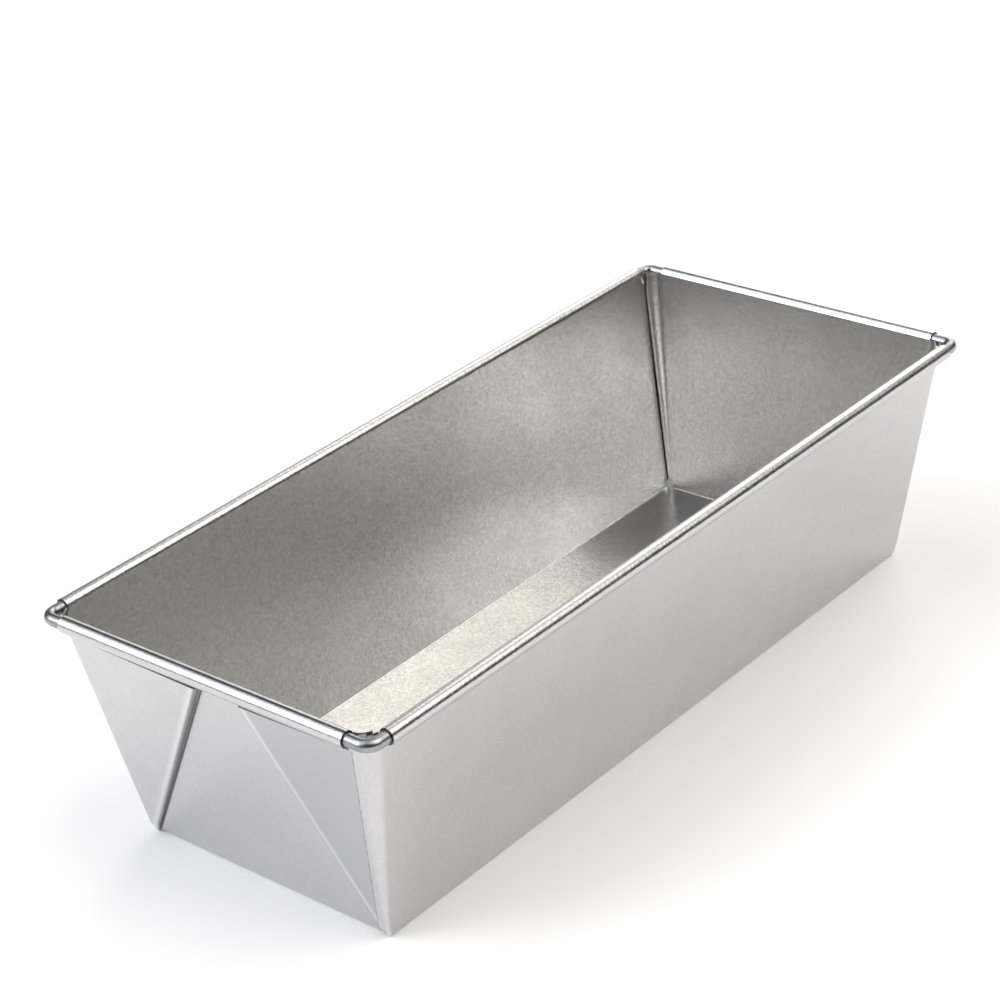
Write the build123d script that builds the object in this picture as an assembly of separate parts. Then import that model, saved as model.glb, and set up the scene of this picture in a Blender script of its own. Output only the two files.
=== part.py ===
from build123d import *
import math
import os

# Folded and wired loaf tin. X runs along the tin, Y across it, +Z up.
# The origin is on the table, under the middle of the floor.

# Overall sizes, in millimetres
rim_length = 254.0          # over the rolled rim
rim_width = 115.0
tin_height = 69.0           # table to the top of the rolled rim
end_flare = 14.9            # how far an end leans out, from the foot of its ears to the rim
side_flare = 15.9

# Sheet and rim wire
sheet = 0.45                # tinplate
wire_dia = 3.4
wire_slack = 0.1            # between the wire and the roll that holds it
wire_bend = 3.0             # to the wire's middle, at each corner
wire_butt_gap = 0.6         # where the wire's two ends meet inside the roll
wire_butt_from_middle = 9.0

# Bends between the floor and the walls
floor_bend_inside = 0.5
tip_length_along = 0.4      # foot of a side wall taken up by the pinched corner tip
tip_length_across = 0.8
toe_lean = 36.0             # of the tip's rounded underside towards the ends, degrees

# Corner folds. Each ear is a double ply that lies on the outside of an end wall.
ear_gap = 0.2               # between the ear's plies, by the corner
seat_gap = 0.1              # between the ear and the end wall
ear_set_down = 1.65         # from the top of the corner plies to the ears' upper edge
back_ear_reach = 50.0       # from the side wall to the ear's free edge, at its upper edge
front_ear_reach = 41.5
foot_ear_reach = 1.2        # the same at the table
ear_opening = 1.2           # between the ear's plies, which opens up its free fold, degrees
pinch_height = 3.0          # below this the plies are pinched into one
pinch_step = 0.3            # from the end wall out to the pinched tip, at the table
corner_foot_radius = 0.5    # outside, at the table
corner_rim_radius = 6.0     # outside, at the rim
nose_foot_radius = 0.05     # inside, where the end wall turns at the table
crease_wrap = 70.0          # how far the inside crease follows the corner, degrees
square_corner = 90.0        # turn from a side wall to an end, degrees
folded_flat = 180.0         # a ply turned right back on the next one, degrees
band_shares = (0.33, 0.66)  # levels where the tall conical bends are cut into bands

# Roll over the wire
roll_edge_gap = 0.3         # left open between the roll's cut edge and the wall
side_roll_setback = 5.9     # from the wire's corner to the end of the long rolls
end_roll_setback = 7.0
under_roll_gap = 0.25       # from the roll down to the top of the corner plies
lip_below_wire_top = 0.85   # top of the bare sheet behind the wire at the corners
side_lip_angles = (78.0, 50.0)
end_lip_angles = (8.0, crease_wrap)

# Where the plain walls hand over to the corner pieces
corner_reach_along = 24.0
corner_reach_across = 20.0

# Sizes that follow
floor_length = rim_length - 2 * end_flare
floor_width = rim_width - 2 * side_flare
roll_inside = wire_dia / 2 + wire_slack
roll_outside = roll_inside + sheet
wire_x = rim_length / 2 - roll_outside
wire_y = rim_width / 2 - roll_outside
wire_z = tin_height - roll_outside


def lean_to_roll(foot, wire_centre):
    """Angle from upright of a wall whose outside face clears the wire by the slack."""
    reach = math.hypot(wire_centre - foot, wire_z)
    rise = math.atan2(wire_z, wire_centre - foot)
    return math.acos(roll_inside / reach) - rise


side_foot = floor_width / 2
end_foot = floor_length / 2 - pinch_step
side_lean = lean_to_roll(side_foot, wire_y)
end_lean = lean_to_roll(end_foot, wire_x)

# Thicknesses met in a level cut through a leaning wall
side_ply = sheet / math.cos(side_lean)
end_ply = sheet / math.cos(end_lean)
ear_gap_level = ear_gap / math.cos(end_lean)
seat_gap_level = seat_gap / math.cos(end_lean)
crease_fold = (end_ply + seat_gap_level) / 2
middle_ply_depth = end_ply + ear_gap_level
end_wall_depth = middle_ply_depth + end_ply + seat_gap_level

corner_ply_top = wire_z - roll_outside - under_roll_gap
ear_top = corner_ply_top - ear_set_down
lip_top = wire_z + wire_dia / 2 - lip_below_wire_top
side_roll_end = wire_x - side_roll_setback
end_roll_end = wire_y - end_roll_setback
side_cut = floor_length / 2 - corner_reach_along
end_cut = floor_width / 2 - corner_reach_across
floor_bend_outside = floor_bend_inside + sheet


def blend(low, high, share):
    return low + (high - low) * share


def side_face(z):
    """Y of the side wall's outside face."""
    return side_foot + z * math.tan(side_lean)


def end_face(z):
    """X of the end wall's outside face, between the ears."""
    return end_foot + z * math.tan(end_lean)


class SheetWalk:
    """Level outline of bent sheet, drawn by walking along the middle of its thickness."""

    def __init__(self, x, y, heading, ply):
        self.at = Vector(x, y)
        self.heading = heading
        self.ply = ply
        self.left_edges = []
        self.right_edges = []

    def ahead(self, turn=0.0):
        angle = math.radians(self.heading + turn)
        return Vector(math.cos(angle), math.sin(angle))

    def sides(self):
        across = self.ahead(90) * (self.ply / 2)
        return self.at + across, self.at - across

    def run(self, length, ply=None):
        left, right = self.sides()
        self.at = self.at + self.ahead() * length
        self.ply = ply or self.ply
        new_left, new_right = self.sides()
        self.left_edges.append(Edge.make_line(left, new_left))
        self.right_edges.append(Edge.make_line(right, new_right))

    def turn(self, radius, angle):
        """Bend by an angle in degrees, positive to the left."""
        way = math.copysign(1, angle)
        centre = self.at + self.ahead(90 * way) * radius
        points = [self.sides()]
        for share in (0.5, 0.5):
            self.heading += angle * share
            self.at = centre - self.ahead(90 * way) * radius
            points.append(self.sides())
        left = [pair[0] for pair in points]
        right = [pair[1] for pair in points]
        self.left_edges.append(Edge.make_three_point_arc(*left))
        self.right_edges.append(Edge.make_three_point_arc(*right))

    def press_shut(self, turns):
        """Bends with no room left on their left side, which becomes one flat step."""
        start = self.sides()[0]
        kept = len(self.left_edges)
        for radius, angle in turns:
            self.turn(radius, angle)
        self.left_edges[kept:] = [Edge.make_line(start, self.sides()[0])]

    def face(self, z):
        left_end, right_end = self.left_edges[-1] @ 1, self.right_edges[-1] @ 1
        left_start, right_start = self.left_edges[0] @ 0, self.right_edges[0] @ 0
        edges = list(self.left_edges)
        edges.append(Edge.make_line(left_end, right_end))
        edges += reversed(self.right_edges)
        edges.append(Edge.make_line(right_start, left_start))
        return Face(Wire(edges)).moved(Location((0, 0, z)))


def flattened(face):
    """The same face on a true plane, if it is flat and isn't on one yet."""
    if face.geom_type == GeomType.PLANE or not face.is_planar:
        return face
    return Face(Wire.make_polygon([edge @ 0 for edge in face.outer_wire().order_edges()]))


def between(section, low, high, cut_shares=()):
    """Solid ruled between level sections, so that flats stay flat and bends are conical."""
    levels = [low] + [blend(low, high, share) for share in cut_shares] + [high]
    skin = Solid.make_loft([section(level).outer_wire() for level in levels], True)
    return Solid(Shell([flattened(face) for face in skin.faces()]))


class CornerLevel:
    """Sizes of the +X +Y corner in a level cut at height z."""

    def __init__(self, z, ear_reach):
        rim_share = z / wire_z
        pinch = min(z / pinch_height, 1)
        self.side = side_face(z)
        self.end = end_face(z)
        self.ear = self.end + blend(pinch_step, end_wall_depth, pinch)
        self.outer_bend = blend(corner_foot_radius, corner_rim_radius, rim_share) - side_ply / 2
        inner_foot = nose_foot_radius + end_ply / 2
        inner_rim = corner_rim_radius - end_wall_depth - end_ply / 2
        self.inner_bend = blend(inner_foot, inner_rim, rim_share)
        self.middle_bend = self.inner_bend + 2 * crease_fold
        middle_turn, inner_turn = (self.middle_bend, crease_wrap), (self.inner_bend, -crease_wrap)
        self.crease = (middle_turn, (crease_fold, folded_flat), inner_turn)
        self.outer_bend_x = self.ear - end_ply / 2 - self.outer_bend
        self.outer_bend_y = self.side - side_ply / 2 - self.outer_bend
        middle_ply_x = self.end + seat_gap_level + end_ply / 2
        self.inner_bend_x = middle_ply_x - self.middle_bend
        self.inner_bend_y = self.side - middle_ply_depth - end_ply / 2 - self.middle_bend
        self.place_free_fold(middle_ply_x, self.side - blend(foot_ear_reach, ear_reach, z / ear_top))

    def place_free_fold(self, middle_ply_x, edge_y):
        """Fold that joins the open outer ply to the middle ply, with its edge at edge_y."""
        opening = math.radians(ear_opening)
        ply_out = Vector(math.cos(opening), math.sin(opening))
        ply_along = Vector(math.sin(opening), -math.cos(opening))
        corner = Vector(self.outer_bend_x, self.outer_bend_y)
        room = corner.dot(ply_out) + self.outer_bend - Vector(middle_ply_x, edge_y + end_ply / 2).dot(ply_out)
        self.free_fold = room / (1 + ply_out.X + ply_out.Y)
        self.fold_y = edge_y + end_ply / 2 + self.free_fold
        fold = Vector(middle_ply_x + self.free_fold, self.fold_y)
        self.outer_ply_length = (fold - corner).dot(ply_along)


tip_x = end_foot - end_ply - CornerLevel(0, back_ear_reach).middle_bend - tip_length_along
tip_y = CornerLevel(0, back_ear_reach).inner_bend_y - tip_length_across


def ear_walk(level, start_x):
    """Side wall, rounded corner and outer ply, as far as the ear's free fold."""
    walk = SheetWalk(start_x, level.side - side_ply / 2, 0, side_ply)
    walk.run(level.outer_bend_x - start_x)
    walk.turn(level.outer_bend, ear_opening - square_corner)
    walk.run(level.outer_ply_length, end_ply)
    walk.turn(level.free_fold, -folded_flat - ear_opening)
    return walk


def folded_corner(z, ear_reach, start_x, end_y):
    """Side wall, rounded corner, double ear, inside crease and end wall, in one strip."""
    level = CornerLevel(z, ear_reach)
    walk = ear_walk(level, start_x)
    walk.run(level.inner_bend_y - level.fold_y)
    walk.press_shut(level.crease)
    walk.run(level.inner_bend_y - end_y)
    return walk.face(z)


def pinched_corner(z, ear_reach, start_x, end_y):
    """The foot of the same corner, where all plies are pinched into one solid tip."""
    level = CornerLevel(z, ear_reach)
    edges = ear_walk(level, start_x).left_edges
    side_inside = level.side - side_ply
    end_inside = level.end - end_ply
    corners = [edges[-1] @ 1, Vector(level.end, level.fold_y), Vector(level.end, end_y)]
    corners += [Vector(end_inside, end_y), Vector(end_inside, level.inner_bend_y - end_ply)]
    corners += [Vector(end_inside - level.middle_bend, side_inside), Vector(start_x, side_inside)]
    corners.append(edges[0] @ 0)
    edges += [Edge.make_line(start, end) for start, end in zip(corners, corners[1:])]
    return Face(Wire(edges)).moved(Location((0, 0, z)))


def outer_collar(z, ear_reach):
    """Side wall and rounded corner above the ear."""
    level = CornerLevel(z, ear_reach)
    walk = SheetWalk(side_cut, level.side - side_ply / 2, 0, side_ply)
    walk.run(level.outer_bend_x - side_cut)
    walk.turn(level.outer_bend, ear_opening - square_corner)
    return walk.face(z)


def inner_collar(z, ear_reach):
    """Middle ply, inside crease and end wall above the ear."""
    level = CornerLevel(z, ear_reach)
    walk = SheetWalk(level.inner_bend_x + level.middle_bend, level.inner_bend_y, 90, end_ply)
    walk.press_shut(level.crease)
    walk.run(level.inner_bend_y - end_cut)
    return walk.face(z)


def lip(z, centre_x, centre_y, radius, ply, angles):
    """Part turn of one ply that stands behind the bare wire."""
    first, last = angles
    way = math.copysign(1, last - first)
    angle = math.radians(first)
    x = centre_x + radius * math.cos(angle)
    y = centre_y + radius * math.sin(angle)
    walk = SheetWalk(x, y, first + 90 * way, ply)
    walk.turn(radius, last - first)
    return walk.face(z)


def side_lip(z, ear_reach):
    level = CornerLevel(z, ear_reach)
    return lip(z, level.outer_bend_x, level.outer_bend_y, level.outer_bend, side_ply, side_lip_angles)


def end_lip(z, ear_reach):
    level = CornerLevel(z, ear_reach)
    return lip(z, level.inner_bend_x, level.inner_bend_y, level.inner_bend, end_ply, end_lip_angles)


def rounded_toe(tip):
    """The lowest piece of a corner with its bit of floor, rounded as the floor bends are."""
    floor_length_in_tip = end_foot - end_ply / 2 - tip_x
    floor_width_in_tip = side_foot - side_ply / 2 - tip_y
    floor_in_tip = Box(floor_length_in_tip, floor_width_in_tip, sheet, align=(Align.MIN,) * 3)
    beside = straight_run(across_plane, foot_fill(side_foot, math.degrees(side_lean)), rim_length / 2)
    ahead = straight_run(along_plane, foot_fill(end_foot + pinch_step, toe_lean), rim_width / 2)
    return tip.fuse(Pos(tip_x, tip_y) * floor_in_tip).intersect(beside, ahead).solid()


def corner_pieces(ear_reach):
    """The +X +Y corner, from the table to the top of its lips."""
    def part(section, low, high, cut_shares=(), ends=()):
        return between(lambda z: section(z, ear_reach, *ends), low, high, cut_shares)

    cuts = (side_cut, end_cut)
    pieces = [rounded_toe(part(pinched_corner, 0, floor_bend_outside, ends=(tip_x, tip_y)))]
    pieces.append(part(pinched_corner, floor_bend_outside, pinch_height, ends=cuts))
    pieces.append(part(folded_corner, pinch_height, ear_top, band_shares, cuts))
    pieces.append(part(outer_collar, ear_top, corner_ply_top))
    pieces.append(part(inner_collar, ear_top, corner_ply_top))
    pieces.append(part(side_lip, corner_ply_top, lip_top))
    pieces.append(part(end_lip, corner_ply_top, lip_top))
    return pieces


def wall_section(foot, lean, wire_centre, base_height):
    """Wall and roll in the plane across the wall: first coordinate outward, second up."""
    ply = sheet / math.cos(lean)
    centre = Vector(wire_centre, wire_z)
    start = 180 - math.degrees(lean)
    meets_wall = math.acos(roll_inside / roll_outside)
    end = start - 360 + math.degrees(meets_wall + roll_edge_gap / roll_outside)

    def on_roll(radius, angle):
        turn = math.radians(angle)
        return centre + Vector(math.cos(turn), math.sin(turn)) * radius

    middle = (start + end) / 2
    outside = [on_roll(roll_outside, angle) for angle in (start, middle, end)]
    inside = [on_roll(roll_inside, angle) for angle in (end, middle, start)]
    low_outside = Vector(foot + base_height * math.tan(lean), base_height)
    low_inside = low_outside - Vector(ply, 0)
    edges = [Edge.make_line(low_inside, outside[0])]
    edges.append(Edge.make_three_point_arc(*outside))
    edges.append(Edge.make_line(outside[2], inside[0]))
    edges.append(Edge.make_three_point_arc(*inside))
    edges.append(Edge.make_line(inside[2], low_outside))
    edges.append(Edge.make_line(low_outside, low_inside))
    return Face(Wire(edges))


def floor_bend_middle(foot, lean):
    """How far out the middle of a floor bend lies."""
    return foot - floor_bend_outside * (1 - math.sin(lean)) / math.cos(lean)


def bend_points(foot, lean, radius):
    """Start, middle and end of a floor bend's arc."""
    middle = Vector(floor_bend_middle(foot, lean), floor_bend_outside)
    angles = (-math.pi / 2, (-math.pi / 2 - lean) / 2, -lean)
    return [middle + Vector(math.cos(angle), math.sin(angle)) * radius for angle in angles]


def floor_bend_section(foot, lean):
    """Bend from the floor up to the level where the plain wall starts."""
    outside = bend_points(foot, lean, floor_bend_outside)
    inside = bend_points(foot, lean, floor_bend_inside)
    top_outside = Vector(foot + floor_bend_outside * math.tan(lean), floor_bend_outside)
    top_inside = top_outside - Vector(sheet / math.cos(lean), 0)
    edges = [Edge.make_three_point_arc(*outside)]
    edges.append(Edge.make_line(outside[2], top_outside))
    edges.append(Edge.make_line(top_outside, top_inside))
    edges.append(Edge.make_line(top_inside, inside[2]))
    edges.append(Edge.make_three_point_arc(*reversed(inside)))
    edges.append(Edge.make_line(inside[0], outside[0]))
    return Face(Wire(edges))


def foot_fill(foot, lean_degrees):
    """All that lies inside a floor bend's outside face."""
    lean = math.radians(lean_degrees)
    outside = bend_points(foot, lean, floor_bend_outside)
    top_outside = Vector(foot + floor_bend_outside * math.tan(lean), floor_bend_outside)
    corners = [outside[2], top_outside, Vector(0, floor_bend_outside), Vector(0, 0), outside[0]]
    edges = [Edge.make_three_point_arc(*outside)]
    edges += [Edge.make_line(start, end) for start, end in zip(corners, corners[1:])]
    return Face(Wire(edges))


across_plane = Plane(origin=(0, 0, 0), x_dir=(0, 1, 0), z_dir=(1, 0, 0))
along_plane = Plane(origin=(0, 0, 0), x_dir=(1, 0, 0), z_dir=(0, -1, 0))


def straight_run(plane, section, half_length):
    return extrude(plane * section, amount=half_length, both=True)


def side_wall():
    """The +Y long wall: floor bend, plain wall and roll."""
    bend = floor_bend_section(side_foot, side_lean)
    wall = wall_section(side_foot, side_lean, wire_y, floor_bend_outside)
    roll = wall_section(side_foot, side_lean, wire_y, corner_ply_top)
    runs = [(bend, tip_x), (wall, side_cut), (roll, side_roll_end)]
    return [straight_run(across_plane, section, length) for section, length in runs]


def end_wall():
    """The +X end wall: floor bend, plain wall and roll."""
    bend = floor_bend_section(end_foot, end_lean)
    wall = wall_section(end_foot, end_lean, wire_x, floor_bend_outside)
    roll = wall_section(end_foot, end_lean, wire_x, corner_ply_top)
    runs = [(bend, tip_y), (wall, end_cut), (roll, end_roll_end)]
    return [straight_run(along_plane, section, length) for section, length in runs]


def floor_plate():
    half_length = floor_bend_middle(end_foot, end_lean)
    half_width = floor_bend_middle(side_foot, side_lean)
    return Pos(0, 0, sheet / 2) * Box(2 * half_length, 2 * half_width, sheet)


def folded_tin():
    """The whole blank: floor, walls, four folded corners and the rolled rim."""
    pieces = [floor_plate()]
    for run in side_wall():
        pieces += [run, mirror(run, about=Plane.XZ)]
    for run in end_wall():
        pieces += [run, mirror(run, about=Plane.YZ)]
    back = corner_pieces(back_ear_reach)
    front = [mirror(piece, about=Plane.XZ) for piece in corner_pieces(front_ear_reach)]
    for piece in back + front:
        pieces += [piece, mirror(piece, about=Plane.YZ)]
    return pieces[0].fuse(*pieces[1:])


def rim_wire():
    """One rod, bent round the mouth, its ends meeting inside the far end's roll."""
    start = wire_butt_from_middle + wire_butt_gap / 2
    end = wire_butt_from_middle - wire_butt_gap / 2
    corners = [(wire_x, start, wire_z), (wire_x, wire_y, wire_z), (-wire_x, wire_y, wire_z)]
    corners += [(-wire_x, -wire_y, wire_z), (wire_x, -wire_y, wire_z), (wire_x, end, wire_z)]
    route = FilletPolyline(*corners, radius=wire_bend)
    section = Plane(origin=corners[0], z_dir=(0, 1, 0)) * Circle(wire_dia / 2)
    return sweep(section, path=route)


def write(shape, name):
    export_step(shape, os.path.join("parts", name + ".step"))


os.makedirs("parts", exist_ok=True)
if __name__ == "__main__":
    tin = folded_tin()
    print("tin", tin.is_valid, len(tin.solids()), tin.volume)
    write(tin, "folded_tin")
    wire = rim_wire()
    print("wire", wire.is_valid, len(wire.solids()), wire.volume)
    write(wire, "rim_wire")
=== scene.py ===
import math

import bpy
from mathutils import Matrix, Vector


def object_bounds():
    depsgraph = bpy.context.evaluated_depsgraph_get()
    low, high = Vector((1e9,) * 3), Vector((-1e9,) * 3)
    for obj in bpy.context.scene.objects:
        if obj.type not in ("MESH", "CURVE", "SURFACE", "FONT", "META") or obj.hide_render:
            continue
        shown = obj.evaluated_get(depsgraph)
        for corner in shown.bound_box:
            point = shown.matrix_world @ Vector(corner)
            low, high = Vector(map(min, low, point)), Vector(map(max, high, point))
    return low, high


# Looks of a folded loaf tin: satin tinplate over a grey rim wire, on a plain pale floor.
# Everything is in metres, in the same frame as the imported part.

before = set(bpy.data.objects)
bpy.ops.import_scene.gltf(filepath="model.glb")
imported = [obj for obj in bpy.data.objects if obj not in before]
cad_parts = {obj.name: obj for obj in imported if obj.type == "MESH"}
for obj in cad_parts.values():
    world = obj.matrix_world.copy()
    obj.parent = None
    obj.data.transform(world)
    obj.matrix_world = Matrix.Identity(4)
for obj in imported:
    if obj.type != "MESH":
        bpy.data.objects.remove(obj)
cad_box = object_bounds()
half_length, half_width, tin_height = cad_box[1]
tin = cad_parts["folded_tin"]
rim_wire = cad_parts["rim_wire"]

# Tinplate, in two copies of one coating: the inside is painted lighter, as painted light, with more speckle
# contrast as painted glints; the outside is painted darker, as painted shade.
outer_painted_shade_colour = (0.640, 0.638, 0.645, 1.0)
outer_painted_shade_mottle = (0.565, 0.565, 0.575, 1.0)
inner_painted_light_colour = (0.80, 0.795, 0.785, 1.0)
inner_painted_glint_mottle = (0.56, 0.56, 0.56, 1.0)
tinplate_roughness = (0.24, 0.27)
grain_size = 0.0008                             # matte rolled grain
grain_height = 0.00005
patch_size = 0.022                              # cloudy patches in the coating
speckle_share = 0.75                            # how much of the shade is speckle, and not patches
sheet_wave_size = 0.060                         # slow waves in the thin sheet
sheet_wave_height = 0.0004

# Places on the sheet with a colour of their own: painted highlight, painted shade, and real tool marks and
# sheared edges
fold_painted_shade_colour = (0.34, 0.335, 0.33, 1.0)     # painted shade on the ears' tight folds, where they turn towards the tin's middle
front_ear_painted_shade_colour = (0.515, 0.518, 0.545, 1.0)   # painted shade on the front ears' flats, tinted cool as the light they reflect
edge_painted_highlight_colour = (0.74, 0.74, 0.74, 1.0)         # painted highlight along the ears' free edges
crevice_painted_shade_colour = (0.30, 0.30, 0.31, 1.0)        # painted shade in the crevice beside the ears' free edges
bend_mark_colour = (0.20, 0.20, 0.21, 1.0)      # broken tool marks where the front corners' bends start
behind_wire_painted_shade_colour = (0.27, 0.265, 0.26, 1.0)         # painted shade on the lips of sheet behind the bare wire
raw_edge_colour = (0.10, 0.095, 0.09, 1.0)      # sheared steel, where the sheet ends

# Wire
wire_colour = (0.38, 0.39, 0.41, 1.0)
wire_shade = (0.30, 0.31, 0.33, 1.0)
wire_roughness = (0.28, 0.36)
wire_grain_size = 0.0003
wire_grain_height = 0.00001
wire_patch_size = 0.003

# Noise behind the grain, the patches, the sheet's waves and the bend marks' dashes.
# A span is the noise at which a mark starts and the noise at which it is full.
grain_noise = {"Detail": 2.0, "Roughness": 0.6}
patch_noise = {"Detail": 4.0, "Roughness": 0.62}
plain_noise = {"Detail": 1.0}
speckle_span = (0.25, 0.75)
patch_span = (0.32, 0.68)
dash_span = (0.30, 0.60)
dash_strength = (0.10, 0.75)

# Heights on the sheet
floor_top = 0.0006                              # just over the floor's sheet
ear_top = tin_height - 0.0064                   # just over the ears' upper edge
collar_foot = tin_height - 0.0040               # the ears' collars and the lips rise from here
lip_top = tin_height - 0.0014

# Ends of the rolls, where they are cut back for the bare wire
long_roll_end = half_length - 0.00815
end_roll_end = half_width - 0.00925
edge_reach = 0.0004                             # how far a sheared edge's tone reaches on either side
square_on = 0.995                               # how squarely a sheared edge faces along its axis

# Outside face of the end walls: X at the table, and how much X grows with height
end_wall_foot = half_length - 0.0152
end_wall_slope = 0.1724
ear_clearance = 0.00015                         # what lies further out than this is an ear

# Lines on the end walls: Y at the table, and how much Y grows with height
ear_edge_inset = 0.0171
bend_mark_inset = 0.01875
front_ear_edge = (ear_edge_inset - half_width, 0.468)
back_ear_edge = (half_width - ear_edge_inset, -0.604)
front_bend_mark = (bend_mark_inset - half_width, -0.1455)
mark_width = 0.0003
mark_gap_size = 0.0013                          # spacing of the broken bend marks

# Painted shade in the crevices beside the ears' free edges: width at the table, and how much it grows with
# height
front_crevice = (0.0018, 0.0095)
back_crevice = (0.0005, 0.0)

# Each ear's free edge, the side in Y of that line on which the ear lies, and its crevice
ear_edges = ((front_ear_edge, -1, front_crevice), (back_ear_edge, 1, back_crevice))

# Fades, each from its 0 to its 1. The painted highlight band's are distances from the free edge,
# and the others say how far a face looks inward or along the tin.
highlight_from = (0.0006, 0.0012)
highlight_until = (0.0030, 0.0010)
fold_fade = (0.10, 0.60)
inside_fade = (0.30, 0.60)
wall_facing = 0.5                               # the end walls' faces look out further than this

# Camera, as it stood for the photograph
camera_azimuth = math.radians(-47.59)
camera_elevation = math.radians(27.80)
camera_roll = math.radians(-5.24)
camera_offset = Vector((-0.01339, 0.05122, 0.77218))     # from the origin, in the camera's own axes
camera_lens = 99.35
camera_sensor = 36.0

# Floor and room
floor_size = 12.0
floor_colour = (0.93, 0.93, 0.935, 1.0)
floor_glow = 0.11                               # lifts the floor to white where it is seen
room_light = (0.02, 0.02, 0.02)                 # from every side

# Soft panels of the studio, each with its azimuth and elevation seen from the tin, the half angles
# at which it starts to fade and has gone, all in degrees, its brightness and its colour
warm, plain, cool = (1.05, 1.0, 0.92), (1.0, 1.0, 1.0), (0.96, 1.0, 1.10)
panels = {
    "left_window": (150, 24, 6, 16, 3.4, cool),
    "back_left_panel": (135, 33, 10, 22, 3.2, warm),
    "high_left_panel": (120, 55, 14, 30, 1.3, cool),
    "high_near_left_panel": (160, 50, 12, 28, 0.95, cool),
    "high_front_panel": (-60, 56, 18, 34, 2.5, warm),
    "right_panel": (20, 28, 10, 24, 2.8, warm),
    "high_right_panel": (15, 55, 12, 30, 0.3, cool),
    "low_right_panel": (45, 5, 10, 25, 1.0, plain),
    "ceiling": (0, 90, 15, 35, 0.5, plain),
}

# Places of the Mix node's colour sockets, which share their names with its other kinds
mix_share, mix_first, mix_second, mix_result = 0, 6, 7, 2


class Tree:
    """Short ways to add and join nodes in one node tree."""

    def __init__(self, tree):
        self.tree = tree

    def add(self, kind, settings=None, **inputs):
        node = self.tree.nodes.new(kind)
        for name, value in (settings or {}).items():
            setattr(node, name, value)
        for name, value in inputs.items():
            self.feed(node.inputs[name.replace("_", " ")], value)
        return node

    def feed(self, target, value):
        if isinstance(value, bpy.types.NodeSocket):
            self.tree.links.new(value, target)
        else:
            target.default_value = value

    def maths(self, operation, first, second=0.0, third=0.0):
        node = self.tree.nodes.new("ShaderNodeMath")
        node.operation = operation
        for target, value in zip(node.inputs, (first, second, third)):
            self.feed(target, value)
        return node.outputs[0]

    def both(self, first, second):
        return self.maths("MULTIPLY", first, second)

    def either(self, first, second):
        return self.maths("MAXIMUM", first, second)

    def blend(self, share, first, second):
        """The first colour where share is 0, and the second where it is 1."""
        node = self.add("ShaderNodeMix", {"data_type": "RGBA"})
        self.feed(node.inputs[mix_share], share)
        self.feed(node.inputs[mix_first], first)
        self.feed(node.inputs[mix_second], second)
        return node.outputs[mix_result]

    def spread(self, value, low, high, to_low=0.0, to_high=1.0):
        """A smooth step from to_low, where value is at low, to to_high, where it is at high."""
        node = self.add("ShaderNodeMapRange", {"interpolation_type": "SMOOTHSTEP"})
        for target, given in zip(node.inputs, (value, low, high, to_low, to_high)):
            self.feed(target, given)
        return node.outputs[0]

    def place(self):
        """Where a point lies in the tin's own frame."""
        return self.add("ShaderNodeTexCoord").outputs["Object"]


def new_group(name, inputs, outputs):
    """An empty shader group with value inputs, given as name: default, and outputs as name: kind."""
    group = bpy.data.node_groups.new(name, "ShaderNodeTree")
    for label, default in inputs.items():
        made = group.interface.new_socket(label, in_out="INPUT", socket_type="NodeSocketFloat")
        made.default_value = default
    for label, kind in outputs.items():
        group.interface.new_socket(label, in_out="OUTPUT", socket_type=kind)
    tree = Tree(group)
    return group, tree, tree.add("NodeGroupInput"), tree.add("NodeGroupOutput")


def metal_grain_group():
    """Fine grain and slow cloudy patches, shared by the sheet and the wire."""
    sizes = {"Grain Size": grain_size, "Patch Size": patch_size}
    group, tree, given, result = new_group(
        "metal grain", sizes, {"Grain": "NodeSocketFloat", "Patches": "NodeSocketFloat"})
    place = tree.place()
    grain_scale = tree.maths("DIVIDE", 1.0, given.outputs["Grain Size"])
    patch_scale = tree.maths("DIVIDE", 1.0, given.outputs["Patch Size"])
    grain = tree.add("ShaderNodeTexNoise", Vector=place, Scale=grain_scale, **grain_noise)
    patches = tree.add("ShaderNodeTexNoise", Vector=place, Scale=patch_scale, **patch_noise)
    tree.feed(result.inputs["Grain"], grain.outputs[0])
    tree.feed(result.inputs["Patches"], tree.spread(patches.outputs[0], *patch_span))
    return group


def place_group(tree, group, **sizes):
    node = tree.add("ShaderNodeGroup", {"node_tree": group})
    for name, value in sizes.items():
        node.inputs[name.replace("_", " ")].default_value = value
    return node


def new_material(name):
    material = bpy.data.materials.new(name)
    material.use_nodes = True
    material.node_tree.nodes.clear()
    tree = Tree(material.node_tree)
    return material, tree, tree.add("ShaderNodeOutputMaterial")


def near(tree, value, centre, reach):
    """1 where value lies within reach of centre."""
    return tree.maths("COMPARE", value, centre, reach)


def surface_readings(tree):
    """Where a point of the sheet lies, and which way its face looks, each as X, Y and Z."""
    shape = tree.add("ShaderNodeNewGeometry")
    facing = tree.add("ShaderNodeSeparateXYZ", Vector=shape.outputs["True Normal"])
    place = tree.add("ShaderNodeSeparateXYZ", Vector=tree.place())
    return place.outputs, facing.outputs


def outward(tree, place, facing, axis):
    """How far a face looks away from the tin's middle along an axis, from -1 to 1."""
    return tree.both(tree.maths("SIGN", place[axis]), facing[axis])


def raw_edge_mask(tree, place, facing):
    """1 on the sheet's sheared edges: the ends of the rolls and the top of the lips at the corners."""
    mask = 0.0
    for axis, edge in (("X", long_roll_end), ("Y", end_roll_end), ("Z", lip_top)):
        faces_along = tree.maths("GREATER_THAN", tree.maths("ABSOLUTE", facing[axis]), square_on)
        at_edge = near(tree, tree.maths("ABSOLUTE", place[axis]), edge, edge_reach)
        mask = tree.either(mask, tree.both(faces_along, at_edge))
    return mask


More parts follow.
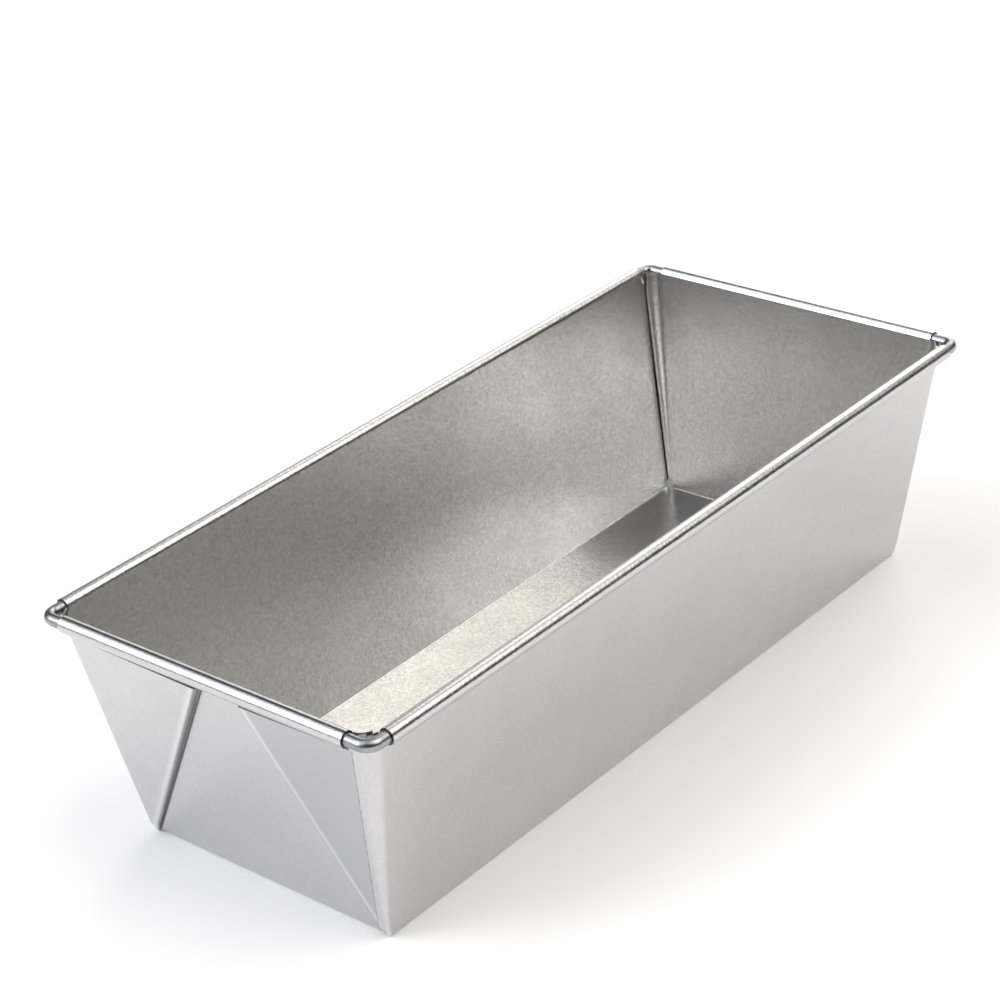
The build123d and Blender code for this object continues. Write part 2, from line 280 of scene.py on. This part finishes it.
def behind_wire_mask(tree, place, inside):
    """1 on the lips and collars of sheet behind the bare wire, for painted shade."""
    past_long_roll = tree.maths("GREATER_THAN", tree.maths("ABSOLUTE", place["X"]), long_roll_end)
    past_end_roll = tree.maths("GREATER_THAN", tree.maths("ABSOLUTE", place["Y"]), end_roll_end)
    high = tree.maths("GREATER_THAN", place["Z"], collar_foot)
    at_corner = tree.both(tree.both(past_long_roll, past_end_roll), high)
    return tree.both(at_corner, tree.maths("SUBTRACT", 1.0, inside))


def inside_mask(tree, place, facing):
    """1 on the faces that look into the tin's mouth."""
    on_floor = tree.maths("LESS_THAN", place["Z"], floor_top)
    looks_in = tree.both(facing["Z"], on_floor)
    for axis in ("X", "Y"):
        inward = tree.both(outward(tree, place, facing, axis), -1.0)
        looks_in = tree.either(looks_in, inward)
    return tree.spread(looks_in, *inside_fade)


def on_ears_mask(tree, place):
    """1 on the plies of the ears, which lie outside the end walls."""
    wall = tree.maths("MULTIPLY_ADD", place["Z"], end_wall_slope, end_wall_foot + ear_clearance)
    outside = tree.maths("GREATER_THAN", tree.maths("ABSOLUTE", place["X"]), wall)
    return tree.both(outside, tree.maths("LESS_THAN", place["Z"], ear_top))


def fold_mask(tree, place, facing, on_ears):
    """1 where an ear's outer ply turns back under itself, fading on to its flat, for painted shade."""
    inward = tree.both(outward(tree, place, facing, "Y"), -1.0)
    return tree.both(tree.spread(inward, *fold_fade), on_ears)


def past_line(tree, place, line, side):
    """How far a point lies beyond a leaning line, towards the side given as 1 or -1."""
    foot, lean = line
    on_line = tree.maths("MULTIPLY_ADD", place["Z"], lean, foot)
    return tree.both(tree.maths("SUBTRACT", place["Y"], on_line), side / math.hypot(1.0, lean))


def ear_edge_masks(tree, place, facing, on_ears):
    """1 in the crevice beside each ear's free edge, for painted shade, and on the band along the edge, for a
    painted highlight.
    """
    faces_out = tree.maths("GREATER_THAN", outward(tree, place, facing, "X"), wall_facing)
    on_wall = tree.both(faces_out, tree.maths("SUBTRACT", 1.0, on_ears))
    below_ear_top = tree.maths("LESS_THAN", place["Z"], ear_top)
    crevice, highlight_band = 0.0, 0.0
    for line, side, (width, growth) in ear_edges:
        past = past_line(tree, place, line, side)
        reach = tree.maths("MULTIPLY_ADD", place["Z"], growth, width)
        short_of_edge = tree.maths("LESS_THAN", past, 0.0)
        within_reach = tree.maths("GREATER_THAN", tree.maths("ADD", past, reach), 0.0)
        crevice = tree.either(crevice, tree.both(short_of_edge, within_reach))
        edge_highlight = tree.both(tree.spread(past, *highlight_from), tree.spread(past, *highlight_until))
        highlight_band = tree.either(highlight_band, edge_highlight)
    return tree.both(tree.both(crevice, below_ear_top), on_wall), tree.both(highlight_band, on_ears)


def front_ear_mask(tree, place, on_ears):
    """1 on the front ears' flats, up to the bend round the corner, where shade is painted."""
    past = past_line(tree, place, front_bend_mark, -1)
    flat = tree.both(tree.maths("LESS_THAN", past, 0.0), tree.maths("LESS_THAN", place["Y"], 0.0))
    return tree.both(flat, on_ears)


def bend_mark_mask(tree, place, on_ears):
    """Up to 1 on the broken tool marks where a front corner's bend leaves the flat of the ear."""
    past = past_line(tree, place, front_bend_mark, -1)
    on_mark = tree.both(near(tree, past, 0.0, mark_width / 2), on_ears)
    dashes = tree.add("ShaderNodeTexNoise", Vector=tree.place(), Scale=1 / mark_gap_size, **plain_noise)
    return tree.both(on_mark, tree.spread(dashes.outputs[0], *dash_span, *dash_strength))


def sheet_colour(tree, marks):
    """The tin coating, painted lighter inside and darker outside, and over it a painted highlight, painted
    shade and the real marks.
    """
    place, facing = surface_readings(tree)
    on_ears = on_ears_mask(tree, place)
    inside = inside_mask(tree, place, facing)
    crevice, edge_highlight = ear_edge_masks(tree, place, facing, on_ears)
    speckle = tree.spread(marks.outputs["Grain"], *speckle_span)
    cloud = tree.both(marks.outputs["Patches"], 1.0 - speckle_share)
    mottle = tree.maths("MULTIPLY_ADD", speckle, speckle_share, cloud)
    outer_shaded_coat = tree.blend(mottle, outer_painted_shade_colour, outer_painted_shade_mottle)
    # Painted shade on the front ears' flats
    outer_shaded_coat = tree.blend(front_ear_mask(tree, place, on_ears), outer_shaded_coat, front_ear_painted_shade_colour)
    inner_lit_coat = tree.blend(mottle, inner_painted_light_colour, inner_painted_glint_mottle)
    # Painted light on the faces that look into the mouth, painted shade on the rest
    colour = tree.blend(inside, outer_shaded_coat, inner_lit_coat)
    # A painted highlight along the ears' edges; painted shade on the folds, in the crevices and behind the
    # wire; then the real tool marks and sheared edges
    finishes_and_painted_light = (
        (edge_highlight, edge_painted_highlight_colour),
        (fold_mask(tree, place, facing, on_ears), fold_painted_shade_colour),
        (crevice, crevice_painted_shade_colour),
        (bend_mark_mask(tree, place, on_ears), bend_mark_colour),
        (behind_wire_mask(tree, place, inside), behind_wire_painted_shade_colour),
        (raw_edge_mask(tree, place, facing), raw_edge_colour),
    )
    for mask, overlay_colour in finishes_and_painted_light:
        colour = tree.blend(mask, colour, overlay_colour)
    return colour


def tinplate(grain_group):
    material, tree, output = new_material("tinplate")
    marks = place_group(tree, grain_group, Grain_Size=grain_size, Patch_Size=patch_size)
    wave = tree.add("ShaderNodeTexNoise", Vector=tree.place(), Scale=1 / sheet_wave_size, **plain_noise)
    slow_bump = tree.add("ShaderNodeBump", Height=wave.outputs[0], Strength=1.0, Distance=sheet_wave_height)
    bump = tree.add("ShaderNodeBump", Height=marks.outputs["Grain"], Strength=1.0, Distance=grain_height,
                    Normal=slow_bump.outputs[0])
    satin = tree.spread(marks.outputs["Patches"], 0.0, 1.0, *tinplate_roughness)
    metal = tree.add("ShaderNodeBsdfPrincipled", Base_Color=sheet_colour(tree, marks), Metallic=1.0,
                     Roughness=satin, Normal=bump.outputs[0])
    tree.feed(output.inputs["Surface"], metal.outputs[0])
    return material


def wire_steel(grain_group):
    material, tree, output = new_material("rim_wire_steel")
    marks = place_group(tree, grain_group, Grain_Size=wire_grain_size, Patch_Size=wire_patch_size)
    bump = tree.add("ShaderNodeBump", Height=marks.outputs["Grain"], Strength=1.0, Distance=wire_grain_height)
    colour = tree.blend(marks.outputs["Patches"], wire_colour, wire_shade)
    rough = tree.spread(marks.outputs["Patches"], 0.0, 1.0, *wire_roughness)
    metal = tree.add("ShaderNodeBsdfPrincipled", Base_Color=colour, Metallic=1.0, Roughness=rough,
                     Normal=bump.outputs[0])
    tree.feed(output.inputs["Surface"], metal.outputs[0])
    return material


def dress(node, material):
    for holder in node.material_slots:
        holder.material = material


def seen_directly(tree):
    """1 for rays from the camera and for those that metal or glass sends on."""
    rays = tree.add("ShaderNodeLightPath").outputs
    seen = tree.either(rays["Is Camera Ray"], rays["Is Glossy Ray"])
    return tree.either(seen, rays["Is Transmission Ray"])


def pale_floor():
    bpy.ops.mesh.primitive_plane_add(size=floor_size, location=(0, 0, 0))
    floor = bpy.context.object
    floor.name = "pale_floor"
    material, tree, output = new_material("pale_floor")
    paint = tree.add("ShaderNodeBsdfDiffuse", Color=floor_colour)
    glow = tree.add("ShaderNodeEmission", Strength=tree.both(seen_directly(tree), floor_glow))
    together = tree.add("ShaderNodeAddShader")
    tree.feed(together.inputs[0], paint.outputs[0])
    tree.feed(together.inputs[1], glow.outputs[0])
    tree.feed(output.inputs["Surface"], together.outputs[0])
    floor.data.materials.append(material)


def direction_of(azimuth, elevation):
    """Unit vector from angles in degrees."""
    turn, rise = math.radians(azimuth), math.radians(elevation)
    return Vector((math.cos(rise) * math.cos(turn), math.cos(rise) * math.sin(turn), math.sin(rise)))


def studio_world():
    """A dim room with soft bright panels round the tin."""
    world = bpy.data.worlds.new("studio")
    bpy.context.scene.world = world
    world.use_nodes = True
    world.node_tree.nodes.clear()
    tree = Tree(world.node_tree)
    looking = tree.add("ShaderNodeTexCoord").outputs["Generated"]
    light = room_light
    for name, (azimuth, elevation, full, gone, brightness, tint) in panels.items():
        towards = tree.add("ShaderNodeVectorMath", {"operation": "DOT_PRODUCT", "label": name})
        tree.feed(towards.inputs[0], looking)
        tree.feed(towards.inputs[1], direction_of(azimuth, elevation))
        limits = [math.cos(math.radians(angle)) for angle in (gone, full)]
        share = tree.spread(towards.outputs["Value"], *limits)
        added = tree.add("ShaderNodeVectorMath", {"operation": "MULTIPLY_ADD"})
        for target, value in zip(added.inputs, (share, Vector(tint) * brightness, light)):
            tree.feed(target, value)
        light = added.outputs["Vector"]
    back = tree.add("ShaderNodeBackground", Color=light, Strength=1.0)
    tree.feed(tree.add("ShaderNodeOutputWorld").inputs["Surface"], back.outputs[0])


def photo_camera():
    data = bpy.data.cameras.new("photo_camera")
    data.lens = camera_lens
    data.sensor_width = camera_sensor
    turn = Matrix.Rotation(camera_azimuth, 4, "Z") @ Matrix.Rotation(math.pi / 2 - camera_elevation, 4, "X")
    turn = turn @ Matrix.Rotation(camera_roll, 4, "Z")
    camera = bpy.data.objects.new("photo_camera", data)
    camera.matrix_world = turn @ Matrix.Translation(camera_offset)
    bpy.context.scene.collection.objects.link(camera)
    bpy.context.scene.camera = camera


grain_group = metal_grain_group()
dress(tin, tinplate(grain_group))
dress(rim_wire, wire_steel(grain_group))
pale_floor()
studio_world()
photo_camera()
bpy.context.scene.view_settings.view_transform = "Standard"
